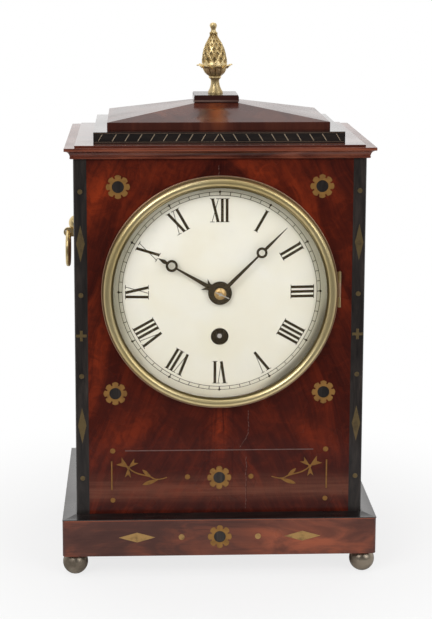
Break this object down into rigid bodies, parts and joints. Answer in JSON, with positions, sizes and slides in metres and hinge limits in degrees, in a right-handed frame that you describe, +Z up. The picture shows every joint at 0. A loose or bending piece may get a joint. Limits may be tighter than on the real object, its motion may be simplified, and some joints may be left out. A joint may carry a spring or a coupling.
{
  "type": "table clock",
  "caption": "Mahogany table clock with a caddy top, hinged round bezel, painted dial, ring handles and a fusee movement.",
  "frame": {"origin": "middle of the base, on the surface the feet stand on", "axes": "+Z up, dial faces -Y, +X to the right seen from the front"},
  "size_m": [0.2968, 0.214, 0.5165],
  "materials": {
    "mahogany": "polished flame mahogany, dark red brown",
    "ebony": "ebonised, satin",
    "polished_brass": "polished and lacquered",
    "inlay_brass": "flush, dull",
    "foot_brass": "dark patina",
    "movement_brass": "fine brushed",
    "steel": "polished",
    "blued_steel": "blued to near black",
    "dial_paint": "cream enamel paint, satin",
    "glass": "clear, thin",
    "silk": "dark red woven silk",
    "gut": "twisted gut, waxed"
  },
  "bodies": {
    "case": {"ball_feet": "foot_brass", "base_plinth": "mahogany", "carcass_boards": "mahogany", "base_moulding": "ebony", "side_left": "mahogany", "side_right": "mahogany", "front_board": "mahogany", "corner_strips": "ebony", "rear_rails": "mahogany", "cornice": "mahogany", "cap_board": "mahogany", "ebony_step": "ebony", "roof": "mahogany", "finial_pad": "mahogany", "finial": "polished_brass", "rosettes": "inlay_brass", "rosette_plugs": "ebony", "front_inlay": "inlay_brass", "lozenge_inlay": "inlay_brass", "step_inlay": "inlay_brass", "handle_roses": "polished_brass", "side_frets": "inlay_brass", "fret_silks": "silk", "bezel_hinge": "polished_brass", "door_hinge_plates": "movement_brass", "dial": "dial_paint", "front_plate": "movement_brass", "back_plate": "movement_brass", "pillars": "movement_brass", "seat_board": "mahogany", "seat_bolts": "steel", "barrel_arbor": "steel", "gut_line": "gut", "back_cock": "movement_brass"},
    "left_handle": {"handle_ring_left": "polished_brass"},
    "right_handle": {"handle_ring_right": "polished_brass"},
    "bezel_door": {"bezel": "polished_brass", "bezel_glass": "glass", "bezel_catch": "movement_brass"},
    "back_door": {"rear_door": "mahogany", "rear_door_glass": "glass", "door_hinge_leaves": "movement_brass"},
    "door_catch": {"door_turn": "polished_brass"},
    "minute_work": {"centre_arbor": "steel", "cannon_wheel": "movement_brass", "minute_hand": "blued_steel", "hand_collet": "polished_brass", "taper_pin": "steel"},
    "hour_work": {"hour_wheel": "movement_brass", "hour_hand": "blued_steel"},
    "minute_wheel_pair": {"minute_wheel": "movement_brass"},
    "great_wheel_disc": {"great_wheel": "movement_brass"},
    "fusee_cone": {"fusee": "movement_brass"},
    "barrel_drum": {"spring_barrel": "movement_brass"},
    "third_pair": {"third_wheel": "movement_brass"},
    "escape_pair": {"escape_wheel": "movement_brass"},
    "anchor_crutch": {"anchor": "steel"},
    "pendulum": {"pendulum_rod": "steel", "pendulum_bob": "polished_brass", "rating_nut": "movement_brass"}
  },
  "joints": [
    {"name": "left_handle_swing", "type": "hinge", "parent": "case", "child": "left_handle", "pos_m": [-0.144, 0, 0.3123], "axis": [0, 1, 0], "range_deg": [-6, 150]},
    {"name": "right_handle_swing", "type": "hinge", "parent": "case", "child": "right_handle", "pos_m": [0.144, 0, 0.3123], "axis": [0, -1, 0], "range_deg": [-6, 150]},
    {"name": "bezel_opens", "type": "hinge", "parent": "case", "child": "bezel_door", "pos_m": [0.111, -0.0957, 0.2738], "axis": [0, 0, 1], "range_deg": [0, 120]},
    {"name": "back_door_opens", "type": "hinge", "parent": "case", "child": "back_door", "pos_m": [0.125, 0.0968, 0.2275], "axis": [0, 0, -1], "range_deg": [0, 110]},
    {"name": "door_catch_turns", "type": "hinge", "parent": "back_door", "child": "door_catch", "pos_m": [-0.1109, 0.089, 0.2275], "axis": [0, -1, 0], "range_deg": [0, 90]},
    {"name": "hands_turn", "type": "hinge", "parent": "case", "child": "minute_work", "pos_m": [0, -0.094, 0.2713], "axis": [0, 1, 0], "continuous": true},
    {"name": "hour_hand_turns", "type": "hinge", "parent": "case", "child": "hour_work", "pos_m": [0, -0.094, 0.2713], "axis": [0, 1, 0], "continuous": true},
    {"name": "minute_wheel_turns", "type": "hinge", "parent": "case", "child": "minute_wheel_pair", "pos_m": [-0.0216, -0.094, 0.2713], "axis": [0, 1, 0], "continuous": true},
    {"name": "great_wheel_turns", "type": "hinge", "parent": "case", "child": "great_wheel_disc", "pos_m": [0, -0.094, 0.2292], "axis": [0, 1, 0], "continuous": true},
    {"name": "fusee_winds", "type": "hinge", "parent": "great_wheel_disc", "child": "fusee_cone", "pos_m": [0, -0.094, 0.2292], "axis": [0, 1, 0], "continuous": true},
    {"name": "barrel_turns", "type": "hinge", "parent": "case", "child": "barrel_drum", "pos_m": [-0.0445, -0.094, 0.2353], "axis": [0, 1, 0], "continuous": true},
    {"name": "third_wheel_turns", "type": "hinge", "parent": "case", "child": "third_pair", "pos_m": [0.01755, -0.094, 0.29221], "axis": [0, 1, 0], "continuous": true},
    {"name": "escape_wheel_turns", "type": "hinge", "parent": "case", "child": "escape_pair", "pos_m": [0, -0.094, 0.3042], "axis": [0, 1, 0], "continuous": true},
    {"name": "pendulum_swings", "type": "hinge", "parent": "case", "child": "pendulum", "pos_m": [0, -0.01, 0.32682], "axis": [0, 1, 0], "range_deg": [-3, 3]},
    {"name": "anchor_rocks", "type": "hinge", "parent": "case", "child": "anchor_crutch", "pos_m": [0, -0.094, 0.32682], "axis": [0, 1, 0], "range_deg": [-3, 3]}
  ],
  "couplings": [
    {"joint": "hour_hand_turns", "follows": "hands_turn", "ratio": 0.083333},
    {"joint": "minute_wheel_turns", "follows": "hands_turn", "ratio": -1},
    {"joint": "great_wheel_turns", "follows": "hands_turn", "ratio": -0.083333},
    {"joint": "third_wheel_turns", "follows": "hands_turn", "ratio": -12},
    {"joint": "escape_wheel_turns", "follows": "hands_turn", "ratio": 133.71},
    {"joint": "barrel_turns", "follows": "fusee_winds", "ratio": 0.7},
    {"joint": "anchor_rocks", "follows": "pendulum_swings", "ratio": 1}
  ]
}
